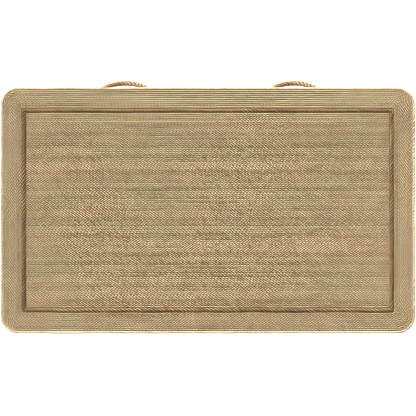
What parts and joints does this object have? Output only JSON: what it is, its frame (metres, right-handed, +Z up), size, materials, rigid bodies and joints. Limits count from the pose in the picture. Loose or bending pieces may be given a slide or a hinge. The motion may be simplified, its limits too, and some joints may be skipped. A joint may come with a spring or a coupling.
{
  "type": "lidded woven basket",
  "caption": "Rectangular lidded basket of twisted seagrass cord over a wire frame, with a lift-off lid and two rope pull handles on one long side.",
  "frame": {"origin": "on the floor, under the middle of the basket's outline without its handles", "axes": "+X along the long side, +Y towards the side with the two pull handles, +Z up"},
  "size_m": [0.914, 0.5625, 0.1638],
  "materials": {
    "seagrass": "twisted dried grass cord, matt",
    "seagrass_rope": "thicker twisted grass rope, matt",
    "dark_rope": "dark brown twisted grass rope, matt",
    "handle_rope": "golden twisted rope, matt",
    "iron_wire": "black painted steel wire, satin",
    "board": "unpainted dark brown hardboard"
  },
  "bodies": {
    "basket": {"base_ring": "iron_wire", "rim_ring": "iron_wire", "frame_ribs": "iron_wire", "frame_posts": "iron_wire", "floor_weave": "seagrass", "front_wall": "seagrass", "back_wall": "seagrass", "left_wall": "seagrass", "right_wall": "seagrass", "wall_corners": "seagrass", "foot_rope": "seagrass_rope", "rim_rope": "seagrass_rope", "left_handle_knots": "handle_rope", "right_handle_knots": "handle_rope"},
    "lid": {"lid_board": "board", "lid_ring": "iron_wire", "lid_posts": "iron_wire", "lid_panel": "seagrass", "accent_rope": "dark_rope", "lid_border": "seagrass", "lid_front_skirt": "seagrass", "lid_back_skirt": "seagrass", "lid_left_skirt": "seagrass", "lid_right_skirt": "seagrass", "lid_skirt_corners": "seagrass", "lid_edge_rope": "seagrass_rope"},
    "left_handle": {"left_handle_rope": "handle_rope"},
    "right_handle": {"right_handle_rope": "handle_rope"}
  },
  "joints": [
    {"name": "lid_lift", "type": "slide", "parent": "basket", "child": "lid", "axis": [0, 0, 1], "range_m": [0, 0.2]},
    {"name": "left_handle_swing", "type": "hinge", "parent": "basket", "child": "left_handle", "pos_m": [-0.184, 0.2653, 0.08], "axis": [1, 0, 0], "range_deg": [-34, 97]},
    {"name": "right_handle_swing", "type": "hinge", "parent": "basket", "child": "right_handle", "pos_m": [0.195, 0.2653, 0.08], "axis": [1, 0, 0], "range_deg": [-34, 97]}
  ]
}
